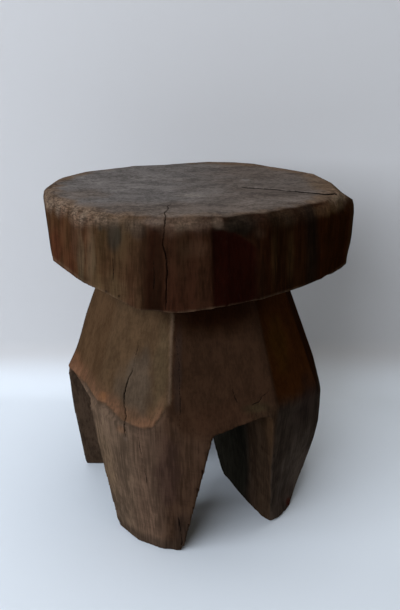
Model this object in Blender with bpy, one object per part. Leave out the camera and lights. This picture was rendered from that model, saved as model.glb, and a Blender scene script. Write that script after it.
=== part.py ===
"""Hewn mushroom stool: a seat cap wedged on the round tenon of a three-legged base.

Metres, +Z up, the front faces -Y. Azimuths are in degrees, 0 at the front and 90 at the right (+X).
"""
import math

import bmesh
import bpy
from mathutils import Vector

# Overall sizes
STOOL_HEIGHT = 0.450
CAP_THICKNESS = 0.104
NECK_HEIGHT = STOOL_HEIGHT - CAP_THICKNESS
SEAT_GAP = 0.0003

# Seat cap: hewn side faces as (azimuth, distance near the top, distance at the lower rim)
CAP_FACES = (
    (-12.0, 0.178, 0.190),
    (4.0, 0.178, 0.190),
    (20.0, 0.179, 0.190),
    (38.0, 0.178, 0.184),
    (60.0, 0.1890, 0.1890),
    (104.0, 0.1960, 0.1900),
    (128.0, 0.182, 0.180),
    (152.0, 0.196, 0.193),
    (174.0, 0.192, 0.190),
    (-162.0, 0.174, 0.175),
    (-140.0, 0.177, 0.178),
    (-118.0, 0.184, 0.182),
    (-96.0, 0.185, 0.181),
    (-74.0, 0.184, 0.180),
    (-52.0, 0.179, 0.181),
    (-31.0, 0.178, 0.185),
)
CAP_BLOCK_RADIUS = 0.260
CAP_BLOCK_SIDES = 8
CAP_UPPER_DROP = 0.010
CAP_LOWER_RISE = 0.006
CAP_EDGE_ROUND = 0.013
CAP_EDGE_STEPS = 3

# Worn places on the top edge as (azimuth, distance where the wear begins, drop per metre beyond it)
CAP_WEAR_FACES = (
    (100.0, 0.174, 0.60),
)

# Underside of the cap: hewn faces as (azimuth, rise of the rim above the neck)
CAP_UNDER_FACES = (
    (-64.0, 0.031),
    (0.0, 0.004),
    (40.0, 0.0125),
    (84.0, 0.003),
    (150.0, 0.014),
    (-150.0, 0.020),
    (-108.0, 0.026),
)
CAP_UNDER_RIM = 0.186
CAP_SEAT_RADIUS = 0.120

# Base: round log, hewn in flat faces from the neck down to the knee
LOG_FOOT_RADIUS = 0.170
LOG_KNEE_RADIUS = 0.186
LOG_KNEE_HEIGHT = 0.190
LOG_SEGMENTS = 72
FLARE_SLOPE = 0.374

# Flare faces as (azimuth, distance from the axis at the neck)
FLARE_FACES = (
    (-25.0, 0.1195),
    (14.0, 0.1144),
    (52.0, 0.1200),
    (84.0, 0.1172),
    (118.0, 0.1190),
    (152.0, 0.1205),
    (-172.0, 0.1180),
    (-136.0, 0.1200),
    (-100.0, 0.1120),
    (-64.0, 0.1112),
)

# Outer faces of the legs as (azimuth, distance at the floor, distance at the knee height)
LEG_FACES = (
    (-8.0, 0.164, 0.177),
    (-26.0, 0.160, 0.178),
    (-45.0, 0.151, 0.177),
    (30.0, 0.147, 0.215),
    (50.0, 0.157, 0.173),
    (80.0, 0.165, 0.200),
    (81.0, 0.155, 0.218),
    (82.0, 0.150, 0.246),
    (112.0, 0.164, 0.186),
    (-128.0, 0.164, 0.178),
    (-164.0, 0.162, 0.178),
    (-92.0, 0.169, 0.1730),
)

# Arches between the legs. Each wall: azimuth of its outer edge at the floor and at the crown, heading,
# height of the crown and rounding of the corner between them
ARCH_RIGHT_WALLS = ((-2.4, 8.6, 28.0, 0.185, 0.005), (42.7, 33.8, 28.0, 0.199, 0.012))
ARCH_LEFT_WALLS = ((-97.0, -80.0, -90.0, 0.200, 0.018), (-43.6, -46.0, -62.0, 0.200, 0.018))
ARCH_REAR_WALLS = ((108.0, 116.0, 116.0, 0.205, 0.018), (190.0, 184.0, 175.0, 0.205, 0.018))
ARCH_CORNER_SHARE = 0.4
ARCH_CORNER_STEPS = 3
ARCH_REACH_FLOOR = 0.030
ARCH_REACH_CROWN = 0.0
CUTTER_OVERRUN = 0.030

# Blind wedged tenon
TENON_RADIUS = 0.036
TENON_HEIGHT = 0.062
TENON_SEGMENTS = 48
TENON_CLEARANCE = 0.0003
MORTISE_SPARE = 0.004
KERF_OFFSET = 0.012
KERF_DEPTH = 0.046
KERF_WIDTH_MOUTH = 0.0060
KERF_WIDTH_ROOT = 0.0022
WEDGE_CLEARANCE = 0.0003
WEDGE_ROOT_GAP = 0.003
WEDGE_END_INSET = 0.003

# Materials: colour and roughness
CAP_WOOD = ((0.205, 0.145, 0.100), 0.62)
BASE_WOOD = ((0.180, 0.120, 0.082), 0.66)
WEDGE_WOOD = ((0.400, 0.270, 0.150), 0.70)

# Edges flatter than this are shaded smooth, and points nearer than the tolerance count as level
SMOOTH_ANGLE = math.radians(12.0)
LEVEL_TOLERANCE = 1e-5
CUT_TOLERANCE = 1e-6


def heading(azimuth):
    """Unit vector on the floor that points out at an azimuth."""
    angle = math.radians(azimuth)
    return Vector((math.sin(angle), -math.cos(angle), 0.0))


def hew(bm, point, normal):
    """Cut away what lies outside a plane and close the cut with one flat face."""
    geom = bm.verts[:] + bm.edges[:] + bm.faces[:]
    cut = bmesh.ops.bisect_plane(
        bm,
        geom=geom,
        dist=CUT_TOLERANCE,
        plane_co=point,
        plane_no=normal,
        clear_outer=True,
    )
    edges = [item for item in cut["geom_cut"] if isinstance(item, bmesh.types.BMEdge)]
    if len(edges) > 2:
        bmesh.ops.edgeloop_fill(bm, edges=edges)


def hew_leaning(bm, azimuth, upper, lower, centre=Vector((0.0, 0.0, 0.0))):
    """Cut a side plane at an azimuth through two (distance, height) pairs."""
    out = heading(azimuth)
    point = centre + out * lower[0] + Vector((0.0, 0.0, lower[1]))
    lean = (lower[0] - upper[0]) / (upper[1] - lower[1])
    normal = (out + Vector((0.0, 0.0, lean))).normalized()
    hew(bm, point, normal)


def finish_mesh(bm, name):
    """Turn a bmesh into a mesh with outward normals."""
    bmesh.ops.recalc_face_normals(bm, faces=bm.faces[:])
    mesh = bpy.data.meshes.new(name)
    bm.to_mesh(mesh)
    bm.free()
    return mesh


def add_object(name, mesh, material):
    """Link a mesh as a named piece with its own material, smooth across shallow edges."""
    piece = bpy.data.objects.new(name, mesh)
    bpy.context.scene.collection.objects.link(piece)
    mesh.materials.append(material)
    mesh.shade_smooth()
    mesh.set_sharp_from_angle(angle=SMOOTH_ANGLE)
    return piece


def add_cutter(name, bm, shift):
    """Link a hidden cutting body."""
    bmesh.ops.translate(bm, verts=bm.verts[:], vec=shift)
    cutter = bpy.data.objects.new(name, finish_mesh(bm, name))
    bpy.context.scene.collection.objects.link(cutter)
    cutter.hide_render = True
    cutter.display_type = 'WIRE'
    return cutter


def cut_with(piece, cutter):
    """Subtract a cutting body from a piece."""
    modifier = piece.modifiers.new("cut " + cutter.name, 'BOOLEAN')
    modifier.operation = 'DIFFERENCE'
    modifier.solver = 'EXACT'
    modifier.object = cutter


def wood(name, colour, roughness):
    """Plain wood material."""
    material = bpy.data.materials.new(name)
    material.use_nodes = True
    shader = material.node_tree.nodes["Principled BSDF"]
    shader.inputs["Base Color"].default_value = (*colour, 1.0)
    shader.inputs["Roughness"].default_value = roughness
    shader.inputs["Metallic"].default_value = 0.0
    material.diffuse_color = (*colour, 1.0)
    return material


def cap_bmesh():
    """Cap: a disc of log hewn round the side and on the underside, worn round at the top edge."""
    bm = bmesh.new()
    bottom = NECK_HEIGHT + SEAT_GAP
    bmesh.ops.create_cone(
        bm,
        cap_ends=True,
        segments=CAP_BLOCK_SIDES,
        radius1=CAP_BLOCK_RADIUS,
        radius2=CAP_BLOCK_RADIUS,
        depth=STOOL_HEIGHT - bottom,
    )
    bmesh.ops.translate(bm, verts=bm.verts[:], vec=(0.0, 0.0, (STOOL_HEIGHT + bottom) / 2))
    upper_level = STOOL_HEIGHT - CAP_UPPER_DROP
    lower_level = NECK_HEIGHT + CAP_LOWER_RISE
    for azimuth, upper, lower in CAP_FACES:
        hew_leaning(bm, azimuth, (upper, upper_level), (lower, lower_level))
    for azimuth, rise in CAP_UNDER_FACES:
        out = heading(azimuth)
        slope = rise / (CAP_UNDER_RIM - CAP_SEAT_RADIUS)
        point = out * CAP_SEAT_RADIUS + Vector((0.0, 0.0, bottom))
        normal = (out * slope - Vector((0.0, 0.0, 1.0))).normalized()
        hew(bm, point, normal)
    top_edges = [
        edge
        for edge in bm.edges
        if all(abs(vert.co.z - STOOL_HEIGHT) < LEVEL_TOLERANCE for vert in edge.verts)
    ]
    bmesh.ops.bevel(
        bm,
        geom=top_edges,
        offset=CAP_EDGE_ROUND,
        offset_type='OFFSET',
        segments=CAP_EDGE_STEPS,
        profile=0.5,
        affect='EDGES',
        clamp_overlap=True,
    )
    for azimuth, begins, fall in CAP_WEAR_FACES:
        out = heading(azimuth)
        point = out * begins + Vector((0.0, 0.0, STOOL_HEIGHT))
        hew(bm, point, (out * fall + Vector((0.0, 0.0, 1.0))).normalized())
    return bm


def base_bmesh():
    """Base: a tapered log with its tenon, hewn to a flare above the knee and flat on the legs."""
    bm = bmesh.new()
    swell = (LOG_KNEE_RADIUS - LOG_FOOT_RADIUS) / LOG_KNEE_HEIGHT
    neck_radius = LOG_FOOT_RADIUS + swell * NECK_HEIGHT
    bmesh.ops.create_cone(
        bm,
        cap_ends=True,
        segments=LOG_SEGMENTS,
        radius1=LOG_FOOT_RADIUS,
        radius2=neck_radius,
        depth=NECK_HEIGHT,
    )
    bmesh.ops.translate(bm, verts=bm.verts[:], vec=(0.0, 0.0, NECK_HEIGHT / 2))
    for azimuth, neck in FLARE_FACES:
        hew_leaning(bm, azimuth, (neck, NECK_HEIGHT), (neck + FLARE_SLOPE * NECK_HEIGHT, 0.0))
    for azimuth, foot, knee in LEG_FACES:
        hew_leaning(bm, azimuth, (knee, LOG_KNEE_HEIGHT), (foot, 0.0))
    return bm


def tenon_bmesh():
    """Round tenon, sunk a little into the neck so that it joins the base as one body."""
    bm = bmesh.new()
    sunk = CUTTER_OVERRUN
    bmesh.ops.create_cone(
        bm,
        cap_ends=True,
        segments=TENON_SEGMENTS,
        radius1=TENON_RADIUS,
        radius2=TENON_RADIUS,
        depth=TENON_HEIGHT + sunk,
    )
    bmesh.ops.translate(bm, verts=bm.verts[:], vec=(0.0, 0.0, NECK_HEIGHT + (TENON_HEIGHT - sunk) / 2))
    return bm


def mortise_bmesh():
    """Round blind hole for the tenon, with spare depth above it."""
    bm = bmesh.new()
    depth = TENON_HEIGHT + MORTISE_SPARE
    radius = TENON_RADIUS + TENON_CLEARANCE
    bmesh.ops.create_cone(
        bm,
        cap_ends=True,
        segments=TENON_SEGMENTS,
        radius1=radius,
        radius2=radius,
        depth=depth + CUTTER_OVERRUN,
    )
    middle = NECK_HEIGHT + (depth - CUTTER_OVERRUN) / 2
    bmesh.ops.translate(bm, verts=bm.verts[:], vec=(0.0, 0.0, middle))
    return bm


def tapered_block(half_length, low, high):
    """Block along X that widens upwards. low and high are (y centre, y width, z)."""
    bm = bmesh.new()
    rings = []
    for centre, width, height in (low, high):
        corners = ((-1, -1), (1, -1), (1, 1), (-1, 1))
        ring = [
            bm.verts.new((sx * half_length, centre + sy * width / 2, height))
            for sx, sy in corners
        ]
        rings.append(ring)
    bm.faces.new(rings[0])
    bm.faces.new(rings[1])
    for index in range(4):
        after = (index + 1) % 4
        bm.faces.new((rings[0][index], rings[0][after], rings[1][after], rings[1][index]))
    return bm


def kerf_width(height):
    """Width of the saw kerf at a height, opened by its wedge."""
    root = NECK_HEIGHT + TENON_HEIGHT - KERF_DEPTH
    share = (height - root) / KERF_DEPTH
    return KERF_WIDTH_ROOT + (KERF_WIDTH_MOUTH - KERF_WIDTH_ROOT) * share


def kerf_bmesh(offset):
    """Wedge-shaped kerf across the tenon."""
    root = NECK_HEIGHT + TENON_HEIGHT - KERF_DEPTH
    over = NECK_HEIGHT + TENON_HEIGHT + MORTISE_SPARE
    length = TENON_RADIUS + CUTTER_OVERRUN
    return tapered_block(length, (offset, kerf_width(root), root), (offset, kerf_width(over), over))


def wedge_bmesh(offset):
    """Fox wedge that fills the kerf and bears on the floor of the mortise."""
    low = NECK_HEIGHT + TENON_HEIGHT - KERF_DEPTH + WEDGE_ROOT_GAP
    high = NECK_HEIGHT + TENON_HEIGHT + MORTISE_SPARE - WEDGE_CLEARANCE
    reach = abs(offset) + KERF_WIDTH_MOUTH / 2
    length = math.sqrt(TENON_RADIUS ** 2 - reach ** 2) - WEDGE_END_INSET
    side = 2 * WEDGE_CLEARANCE
    return tapered_block(
        length,
        (offset, kerf_width(low) - side, low),
        (offset, kerf_width(high) - side, high),
    )


def rounded_corner(before, corner, after, radius):
    """Points of a soft corner, from the side of one neighbour to that of the other."""
    start = corner + (before - corner).normalized() * radius
    stop = corner + (after - corner).normalized() * radius
    points = []
    for step in range(ARCH_CORNER_STEPS + 1):
        share = step / ARCH_CORNER_STEPS
        first = start.lerp(corner, share)
        second = corner.lerp(stop, share)
        points.append(first.lerp(second, share))
    return points


def arch_profile(floor_pair, crown_pair, rounds):
    """Outline of an arch at one end: up one wall, across the rounded crown and down the other wall."""
    width = (crown_pair[1] - crown_pair[0]).length
    radii = [min(radius, ARCH_CORNER_SHARE * width) for radius in rounds]
    first = rounded_corner(floor_pair[0], crown_pair[0], crown_pair[1], radii[0])
    second = rounded_corner(crown_pair[0], crown_pair[1], floor_pair[1], radii[1])
    return [floor_pair[0]] + first + second + [floor_pair[1]]


def arch_bmesh(walls):
    """Cutting body of one arch: two leaning walls that meet a rounded crown."""
    bm = bmesh.new()
    middle = heading((walls[0][2] + walls[1][2]) / 2)
    levels = ((LOG_FOOT_RADIUS, ARCH_REACH_FLOOR), (LOG_KNEE_RADIUS, ARCH_REACH_CROWN))
    inner = []
    outer = []
    for which, (radius, reach) in enumerate(levels):
        inner_pair = []
        outer_pair = []
        for floor_azimuth, crown_azimuth, course, crown, _ in walls:
            azimuth = (floor_azimuth, crown_azimuth)[which]
            edge = heading(azimuth) * radius + Vector((0.0, 0.0, (0.0, crown)[which]))
            run = heading(course)
            back = (edge.dot(middle) + reach) / run.dot(middle)
            inner_pair.append(edge - run * back)
            outer_pair.append(edge + run * LOG_KNEE_RADIUS)
        inner.append(inner_pair)
        outer.append(outer_pair)
    rings = []
    for floor_pair, crown_pair in (inner, outer):
        # The walls go on down below the floor, so that the cut runs clear of the feet
        for index in (0, 1):
            rise = crown_pair[index] - floor_pair[index]
            floor_pair[index] = floor_pair[index] - rise * (CUTTER_OVERRUN / rise.z)
        profile = arch_profile(floor_pair, crown_pair, [wall[-1] for wall in walls])
        rings.append([bm.verts.new(point) for point in profile])
    count = len(rings[0])
    bm.faces.new(rings[0])
    bm.faces.new(rings[1])
    for index in range(count):
        after = (index + 1) % count
        bm.faces.new((rings[0][index], rings[0][after], rings[1][after], rings[1][index]))
    bmesh.ops.recalc_face_normals(bm, faces=bm.faces[:])
    bmesh.ops.triangulate(bm, faces=bm.faces[:])
    return bm


def centring_shift(bm):
    """Shift that puts the middle of the cap's outline over the origin."""
    xs = [vert.co.x for vert in bm.verts]
    ys = [vert.co.y for vert in bm.verts]
    return Vector((-(min(xs) + max(xs)) / 2, -(min(ys) + max(ys)) / 2, 0.0))


def build():
    """Clear the scene and build every piece."""
    for old in list(bpy.data.objects):
        bpy.data.objects.remove(old, do_unlink=True)

    cap_wood = wood("cap wood", *CAP_WOOD)
    base_wood = wood("base wood", *BASE_WOOD)
    wedge_wood = wood("wedge wood", *WEDGE_WOOD)

    cap = cap_bmesh()
    shift = centring_shift(cap)
    bmesh.ops.translate(cap, verts=cap.verts[:], vec=shift)
    seat_cap = add_object("seat_cap", finish_mesh(cap, "seat_cap"), cap_wood)
    cut_with(seat_cap, add_cutter("mortise cutter", mortise_bmesh(), shift))

    body = base_bmesh()
    bmesh.ops.translate(body, verts=body.verts[:], vec=shift)
    base = add_object("base", finish_mesh(body, "base"), base_wood)
    tenon = add_cutter("tenon stock", tenon_bmesh(), shift)
    join = base.modifiers.new("add tenon", 'BOOLEAN')
    join.operation = 'UNION'
    join.solver = 'EXACT'
    join.object = tenon
    arches = (
        ("right arch cutter", ARCH_RIGHT_WALLS),
        ("left arch cutter", ARCH_LEFT_WALLS),
        ("rear arch cutter", ARCH_REAR_WALLS),
    )
    for name, walls in arches:
        cut_with(base, add_cutter(name, arch_bmesh(walls), shift))
    wedges = (("front", -KERF_OFFSET), ("rear", KERF_OFFSET))
    for side, offset in wedges:
        cut_with(base, add_cutter(side + " kerf cutter", kerf_bmesh(offset), shift))
        wedge = wedge_bmesh(offset)
        bmesh.ops.translate(wedge, verts=wedge.verts[:], vec=shift)
        name = "tenon_wedge_" + side
        add_object(name, finish_mesh(wedge, name), wedge_wood)


build()
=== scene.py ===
"""Look of a hewn mushroom stool: a worn hardwood cap on a three-legged base, on a pale stage.

Metres, +Z up, the front faces -Y. Azimuths are in degrees about the stool's axis, 0 at the front and
90 at the right (+X).
"""
import math

import bmesh
import bpy
import numpy as np
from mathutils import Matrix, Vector, noise
from mathutils.bvhtree import BVHTree
from mathutils.kdtree import KDTree


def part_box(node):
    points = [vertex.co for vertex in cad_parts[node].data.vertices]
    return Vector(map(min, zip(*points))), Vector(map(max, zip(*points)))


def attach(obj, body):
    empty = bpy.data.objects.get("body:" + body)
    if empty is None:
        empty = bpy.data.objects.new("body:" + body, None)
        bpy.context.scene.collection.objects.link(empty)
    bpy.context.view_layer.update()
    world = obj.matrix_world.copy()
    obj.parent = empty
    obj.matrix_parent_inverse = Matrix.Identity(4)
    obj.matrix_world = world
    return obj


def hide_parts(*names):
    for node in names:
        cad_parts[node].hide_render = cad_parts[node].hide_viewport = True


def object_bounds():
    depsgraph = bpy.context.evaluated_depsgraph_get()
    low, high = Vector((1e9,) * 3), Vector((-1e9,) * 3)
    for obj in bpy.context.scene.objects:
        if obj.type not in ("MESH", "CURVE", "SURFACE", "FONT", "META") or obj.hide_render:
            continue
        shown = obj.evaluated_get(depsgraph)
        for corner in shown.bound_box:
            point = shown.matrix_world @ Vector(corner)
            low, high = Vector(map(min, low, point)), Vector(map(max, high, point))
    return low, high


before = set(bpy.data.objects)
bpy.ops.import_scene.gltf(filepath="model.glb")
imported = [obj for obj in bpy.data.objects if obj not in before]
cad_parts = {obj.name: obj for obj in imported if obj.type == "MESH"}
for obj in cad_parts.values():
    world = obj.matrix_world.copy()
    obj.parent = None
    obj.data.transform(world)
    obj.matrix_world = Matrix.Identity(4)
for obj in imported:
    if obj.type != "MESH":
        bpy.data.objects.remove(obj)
CAD_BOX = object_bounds()

bl_info = {
    "name": "Hewn mushroom stool",
    "version": (1, 0, 0),
    "blender": (4, 5, 0),
    "location": "3D View > Sidebar > Stool",
    "description": "Dresses the solids of a hewn stool in worn hardwood and sets a pale stage",
    "category": "Add Mesh",
}

# The stool's axis stands between its two wedges
WEDGE_BOXES = (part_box("tenon_wedge_front"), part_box("tenon_wedge_rear"))
AXIS = (WEDGE_BOXES[0][0] + WEDGE_BOXES[1][1]) / 2
AXIS.z = 0.0
STOOL_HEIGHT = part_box("seat_cap")[1].z
SEAT_GAP = 0.0003
NECK_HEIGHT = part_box("seat_cap")[0].z - SEAT_GAP
MORTISE_REACH = 0.045
OCTREE_DEPTH = 8
# Finer faces lie this near a check, with this many cuts per edge
CRACK_REACH = 0.0045
CRACK_CUTS = 3
# Contrast of the streaks in the hewn wood
STREAK_CONTRAST = 0.34
PORE_DEPTH = 0.6
PORE_COLOUR = (0.014, 0.009, 0.006)
# Painted shade inside the open checks
CHECK_SHADE_COLOUR = (0.005, 0.0035, 0.0025)
SEAT_BORDER_COLOUR = (0.108, 0.071, 0.046)
# Painted shade on the legs' inner faces, under the stool
LEG_INSIDE_SHADE = (0.040, 0.020, 0.0090)

# The long check on the right half of the seat, as (azimuth, radius)
SEAT_CHECK = ((77.2, 0.060), (75.2, 0.106), (71.9, 0.149), (71.4, 0.177), (74.6, 0.189))
# Checks of more than this half width are open all along, finer ones close here and there
WIDE_CHECK = 0.0012
# Checks: places on the seat as (azimuth, radius), then on the side as (azimuth, height), half width, depth
CAP_CRACKS = (
    (
        ((-9.7, 0.112), (-10.6, 0.128), (-9.0, 0.141), (-9.0, 0.158), (-7.8, 0.171)),
        ((-7.7, 0.442), (-8.0, 0.432), (-8.3, 0.421), (-7.4, 0.412), (-6.8, 0.396), (-7.2, 0.371),
         (-7.4, 0.353)),
        0.0006,
        0.0040,
    ),
    (SEAT_CHECK, (), 0.0015, 0.0024),
    ((), ((-26.4, 0.402), (-26.2, 0.376)), 0.0005, 0.0015),
    ((), ((-11.6, 0.404), (-11.2, 0.372)), 0.0004, 0.0010),
    ((), ((31.0, 0.400), (30.6, 0.366)), 0.0004, 0.0010),
)
BASE_CRACKS = (
    (
        (),
        ((-26.5, 0.257), (-28.0, 0.240), (-28.7, 0.226), (-28.0, 0.213), (-26.2, 0.202), (-26.9, 0.190),
         (-26.9, 0.172)),
        0.0007,
        0.0034,
    ),
    ((), ((-25.5, 0.290), (-25.9, 0.272), (-26.5, 0.257)), 0.0003, 0.0012),
    ((), ((-21.4, 0.187), (-20.2, 0.157), (-18.7, 0.130), (-18.2, 0.105)), 0.0004, 0.0016),
    ((), ((-7.0, 0.303), (-4.4, 0.265), (-3.7, 0.232), (-3.7, 0.197)), 0.0003, 0.0006),
    ((), ((-5.0, 0.062), (-4.6, 0.040), (-3.6, 0.006)), 0.0005, 0.0015),
    ((), ((18.8, 0.236), (19.2, 0.228), (20.6, 0.216)), 0.0004, 0.0010),
    ((), ((26.4, 0.2140), (29.4, 0.2160), (31.2, 0.2220), (34.6, 0.2270)), 0.0005, 0.0014),
)

# Colours of the cap's side, each from its azimuth on, with the half width of its border; the zones on the
# front right, away from the light, are darker partly by the wood's own colour and partly as painted shade
CAP_ZONES = (
    (-180.0, 6.0, (0.034, 0.0170, 0.0085)),
    (-120.0, 6.0, (0.031, 0.0158, 0.0078)),
    (-66.0, 4.0, (0.043, 0.0192, 0.0084)),
    (-43.0, 4.0, (0.0415, 0.0205, 0.0094)),
    (-26.0, 3.0, (0.041, 0.0202, 0.0096)),
    (-15.0, 2.6, (0.0135, 0.0050, 0.0025)),
    (-8.0, 0.5, (0.0208, 0.0083, 0.0041)),
    (7.6, 0.7, (0.0108, 0.0044, 0.0019)),
    (25.0, 3.5, (0.0124, 0.0045, 0.0015)),
    (46.5, 1.4, (0.0085, 0.0042, 0.0022)),
    (51.5, 1.8, (0.0158, 0.0048, 0.0011)),
    (80.0, 5.0, (0.028, 0.0125, 0.0055)),
    (130.0, 6.0, (0.033, 0.0160, 0.0078)),
)
# Patches on the cap's side: azimuth, half width, height, half height, colour, strength
CAP_PATCHES = (
    (-70.0, 5.0, 0.372, 0.016, (0.062, 0.0250, 0.0105), 0.60),
    (-60.0, 6.0, 0.400, 0.018, (0.046, 0.0150, 0.0068), 0.65),
    (-51.0, 3.5, 0.382, 0.016, (0.044, 0.0150, 0.0070), 0.55),
    (-41.0, 2.2, 0.392, 0.032, (0.066, 0.0460, 0.0250), 0.50),
    (-36.0, 2.0, 0.400, 0.032, (0.066, 0.0460, 0.0250), 0.50),
    (-45.0, 2.6, 0.414, 0.020, (0.026, 0.0150, 0.0085), 0.50),
    (-26.0, 3.0, 0.427, 0.017, (0.021, 0.0155, 0.0112), 0.75),
    (-20.5, 4.6, 0.366, 0.014, (0.050, 0.0260, 0.0130), 0.60),
    (-28.0, 7.0, 0.366, 0.016, (0.066, 0.0390, 0.0185), 0.65),
    (-17.0, 2.4, 0.436, 0.010, (0.034, 0.0220, 0.0150), 0.60),
    (-11.6, 3.6, 0.4455, 0.0040, (0.074, 0.0550, 0.0430), 0.70),
    (-0.3, 7.0, 0.4435, 0.0065, (0.066, 0.0410, 0.0265), 0.75),
    (3.0, 5.0, 0.418, 0.010, (0.034, 0.0170, 0.0090), 0.50),
    (17.0, 5.4, 0.440, 0.011, (0.0036, 0.0026, 0.0015), 0.95),
    (9.8, 1.8, 0.443, 0.005, (0.115, 0.0800, 0.0540), 0.65),
    (24.5, 2.2, 0.429, 0.006, (0.040, 0.0250, 0.0140), 0.35),
    (35.5, 9.0, 0.441, 0.009, (0.016, 0.0076, 0.0030), 0.60),
    (30.0, 1.4, 0.405, 0.026, (0.034, 0.0160, 0.0060), 0.55),
    (38.0, 1.6, 0.398, 0.028, (0.032, 0.0150, 0.0055), 0.50),
    (66.0, 12.0, 0.441, 0.008, (0.072, 0.0390, 0.0170), 0.70),
    (80.0, 14.0, 0.4460, 0.005, (0.125, 0.0850, 0.0560), 0.75),
    (-24.0, 0.5, 0.362, 0.0016, (0.006, 0.0045, 0.0035), 0.90),
    (-29.3, 0.6, 0.363, 0.0018, (0.006, 0.0045, 0.0035), 0.90),
    (-31.8, 1.0, 0.432, 0.0035, (0.030, 0.0210, 0.0140), 0.70),
)
# Patches on the seat: place from the axis, half width, half depth, colour, strength
SEAT_PATCHES = (
    (0.003, -0.070, 0.018, 0.009, (0.150, 0.130, 0.112), 0.65),
    (0.073, 0.033, 0.007, 0.006, (0.230, 0.205, 0.185), 0.60),
    (0.172, 0.000, 0.026, 0.045, (0.100, 0.066, 0.040), 0.75),
    (0.110, 0.010, 0.050, 0.030, (0.098, 0.082, 0.071), 0.60),
    (-0.060, -0.080, 0.060, 0.022, (0.092, 0.082, 0.076), 0.40),
    (0.080, -0.100, 0.050, 0.016, (0.118, 0.098, 0.084), 0.45),
    (-0.130, -0.060, 0.030, 0.030, (0.110, 0.080, 0.058), 0.40),
)
# How far the cap's lower edge hangs, as azimuths and lengths
CAP_DROOP = (
    (-95.0, -80.0, -45.0, -30.0, 42.0, 53.0, 60.0, 66.0, 76.0, 86.0),
    (0.0, 0.0036, 0.0036, 0.0, 0.0, -0.0020, -0.0016, 0.0012, 0.0026, 0.0),
)
# Share of the far rim that has kept its edge, as azimuths and shares
FAR_RIM = (
    (-180.0, -100.0, -80.0, 80.0, 92.0, 122.0, 140.0, 180.0),
    (0.45, 0.45, 0.0, 0.0, 1.0, 1.0, 0.55, 0.45),
)
# Height where the grey of the seat ends on its worn edge, as azimuths and heights
SEAT_EDGE = (
    (-180.0, -100.0, -58.0, -43.0, -25.0, -8.0, 35.0, 60.0, 90.0, 130.0, 180.0),
    (0.4470, 0.4455, 0.4445, 0.4478, 0.4480, 0.4488, 0.4490, 0.4484, 0.4470, 0.4475, 0.4470),
)
# Adze scoops on the cap: azimuths and heights of the upper edge, depth
CAP_SCOOPS = (
    ((-15.6, -13.5, -11.8, -9.6, -7.6), (0.4450, 0.4400, 0.4360, 0.4380, 0.4420), 0.0030),
    ((7.4, 11.0, 15.4, 20.0, 25.2), (0.4395, 0.4375, 0.4340, 0.4250, 0.4110), 0.0032),
)

# Painted shadow of the cap on the base just below it: azimuth, half width, height and half height, then its
# colour
NECK_SHADE = (14.0, 26.0, 0.326, 0.028)
NECK_SHADOW_COLOUR = (0.0078, 0.0020, 0.0004)
# Line where the flare of the base ends and the legs begin, as azimuths and heights
LEG_LINE = (
    (-180.0, -110.0, -81.0, -57.0, -37.0, -28.0, -19.5, -14.5, -9.0, -3.0, 10.0, 24.0, 30.0, 50.0, 80.0,
     115.0, 180.0),
    (0.190, 0.196, 0.200, 0.210, 0.211, 0.196, 0.193, 0.197, 0.225, 0.192, 0.182, 0.200, 0.214, 0.198,
     0.178, 0.190, 0.190),
)
# The right leg's inner corner from the axis, on the floor and at the upper height
INNER_CORNER = ((0.0499, -0.0020), (0.0236, 0.0058))
INNER_TOP = 0.160
# How far that corner is moved, as heights, lengths along x and lengths along y
INNER_SHIFT = (
    (0.0, 0.060, 0.120, 0.185),
    (-0.0024, -0.0074, -0.0074, 0.0),
    (-0.0030, -0.0030, -0.0030, 0.0),
)
# The rounded tip of the right foot, from the axis
RIGHT_TOE = (0.1103, -0.1035, 0.0)
# Inner edge of the right foot: a place on it from the axis, its direction, and how far it swells
TOE_EDGE = ((0.0829, -0.0639), (0.468, -0.884), 0.0048)
# How far the right leg's outer face stands out, as heights and lengths
OUTER_LEG = (
    (0.0, 0.005, 0.013, 0.0255, 0.0466, 0.060, 0.083, 0.104, 0.126, 0.151, 0.172),
    (-0.0005, -0.0017, -0.0032, -0.0049, -0.0048, -0.0034, 0.0, 0.0026, 0.0039, 0.0021, 0.0),
)
# Colours of the flare and of the legs, each from its azimuth on, with the half width of its border; the
# zones from the front round to the right, away from the light, are darker partly by the wood's own colour
# and partly as painted shade
FLARE_ZONES = (
    (-180.0, 6.0, (0.038, 0.0215, 0.0118)),
    (-110.0, 6.0, (0.044, 0.0260, 0.0150)),
    (-82.0, 4.0, (0.057, 0.0310, 0.0150)),
    (-44.0, 4.0, (0.061, 0.0350, 0.0175)),
    (-9.0, 0.7, (0.0325, 0.0158, 0.0083)),
    (37.5, 0.9, (0.0335, 0.0108, 0.0026)),
    (67.0, 1.0, (0.018, 0.0066, 0.0026)),
    (100.0, 6.0, (0.036, 0.0195, 0.0105)),
)
LEG_ZONES = (
    (-180.0, 6.0, (0.052, 0.0370, 0.0270)),
    (-72.0, 4.0, (0.086, 0.0550, 0.0350)),
    (-24.0, 5.0, (0.076, 0.0455, 0.0290)),
    (-12.0, 4.5, (0.038, 0.0200, 0.0115)),
    (24.0, 3.0, (0.027, 0.0150, 0.0082)),
    (37.0, 2.0, (0.0285, 0.0198, 0.0142)),
    (75.0, 3.0, (0.034, 0.0240, 0.0182)),
    (110.0, 6.0, (0.050, 0.0360, 0.0270)),
)
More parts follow.
